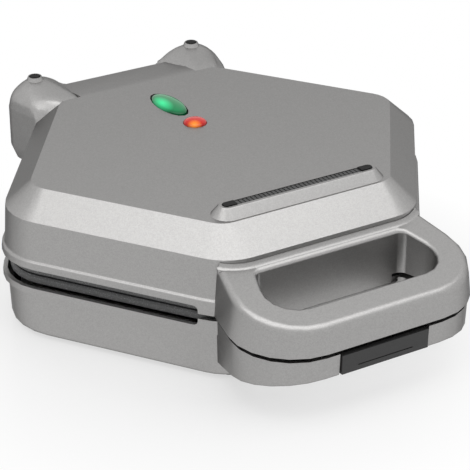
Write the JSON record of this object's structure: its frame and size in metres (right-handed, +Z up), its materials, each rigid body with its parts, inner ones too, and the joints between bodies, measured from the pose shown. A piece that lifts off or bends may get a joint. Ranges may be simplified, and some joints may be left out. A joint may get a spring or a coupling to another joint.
{
  "type": "samosa maker",
  "caption": "Hexagonal countertop samosa maker with a hinged lid, triangular pockets in both grill plates, a split loop handle with a rocker latch, two indicator lenses and a rest rail.",
  "frame": {"origin": "on the surface that the feet stand on, under the middle of the overall width and length", "axes": "+X to the right along the hinge, +Y to the back where the hinge is, +Z up; the handle points to -Y"},
  "size_m": [0.2736, 0.312, 0.093],
  "materials": {
    "silver_plastic": "satin silver-grey with a fine metallic speckle",
    "black_rubber": "matte",
    "grey_plastic": "satin dark grey",
    "black_plastic": "fine texture",
    "coated_plate": "dark grey non-stick coating with a fine speckle",
    "element_tube": "heat-darkened tube",
    "bright_steel": "zinc plated",
    "sheet_metal": "mill finish sheet",
    "white_ceramic": "unglazed ceramic",
    "green_lens": "clear green, glossy",
    "orange_lens": "clear orange-red, glossy",
    "clear_glass": "clear"
  },
  "bodies": {
    "base": {"base_shell": "silver_plastic", "lower_handle": "silver_plastic", "lower_handle_cover": "black_plastic", "lower_plate": "coated_plate", "lower_element": "element_tube", "lower_heat_shield": "sheet_metal", "thermostat": "white_ceramic", "thermal_fuse": "sheet_metal", "terminal_block": "white_ceramic", "wiring_cover": "black_plastic", "cord_gland": "black_rubber", "latch_pin": "bright_steel", "latch_spring": "bright_steel", "lower_plate_screw_back_right": "bright_steel", "lower_plate_screw_back_left": "bright_steel", "lower_plate_screw_front_left": "bright_steel", "lower_plate_screw_front_right": "bright_steel", "base_foot_back_right": "black_rubber", "base_foot_back_left": "black_rubber", "base_foot_front_left": "black_rubber", "base_foot_front_right": "black_rubber", "lower_cover_screw_left": "bright_steel", "lower_cover_screw_right": "bright_steel", "lower_handle_screw_left": "bright_steel", "lower_handle_screw_right": "bright_steel", "wiring_cover_screw_left": "bright_steel", "wiring_cover_screw_right": "bright_steel", "hinge_pin_left": "bright_steel", "hinge_pin_right": "bright_steel"},
    "lid": {"lid_shell": "silver_plastic", "upper_handle": "silver_plastic", "upper_handle_cover": "black_plastic", "rail_strip": "grey_plastic", "rail_foot_left": "black_rubber", "rail_foot_right": "black_rubber", "dome_cap_left": "black_rubber", "dome_cap_right": "black_rubber", "ready_lens": "green_lens", "power_lens": "orange_lens", "lamp_bracket": "sheet_metal", "ready_lamp": "clear_glass", "power_lamp": "clear_glass", "upper_plate": "coated_plate", "upper_element": "element_tube", "upper_heat_shield": "sheet_metal", "upper_plate_screw_back_right": "bright_steel", "upper_plate_screw_back_left": "bright_steel", "upper_plate_screw_front_left": "bright_steel", "upper_plate_screw_front_right": "bright_steel", "upper_cover_screw_left": "bright_steel", "upper_cover_screw_right": "bright_steel", "upper_handle_screw_left": "bright_steel", "upper_handle_screw_right": "bright_steel"},
    "latch": {"latch_button": "grey_plastic"}
  },
  "joints": [
    {"name": "lid_hinge", "type": "hinge", "parent": "base", "child": "lid", "pos_m": [0, 0.147, 0.04665], "axis": [-1, 0, 0], "range_deg": [0, 180]},
    {"name": "latch_rocker", "type": "hinge", "parent": "base", "child": "latch", "pos_m": [0, -0.148, 0.0313], "axis": [1, 0, 0], "range_deg": [0, 7], "stiffness_Nm_per_rad": 0.2, "springref_deg": -5.73}
  ]
}
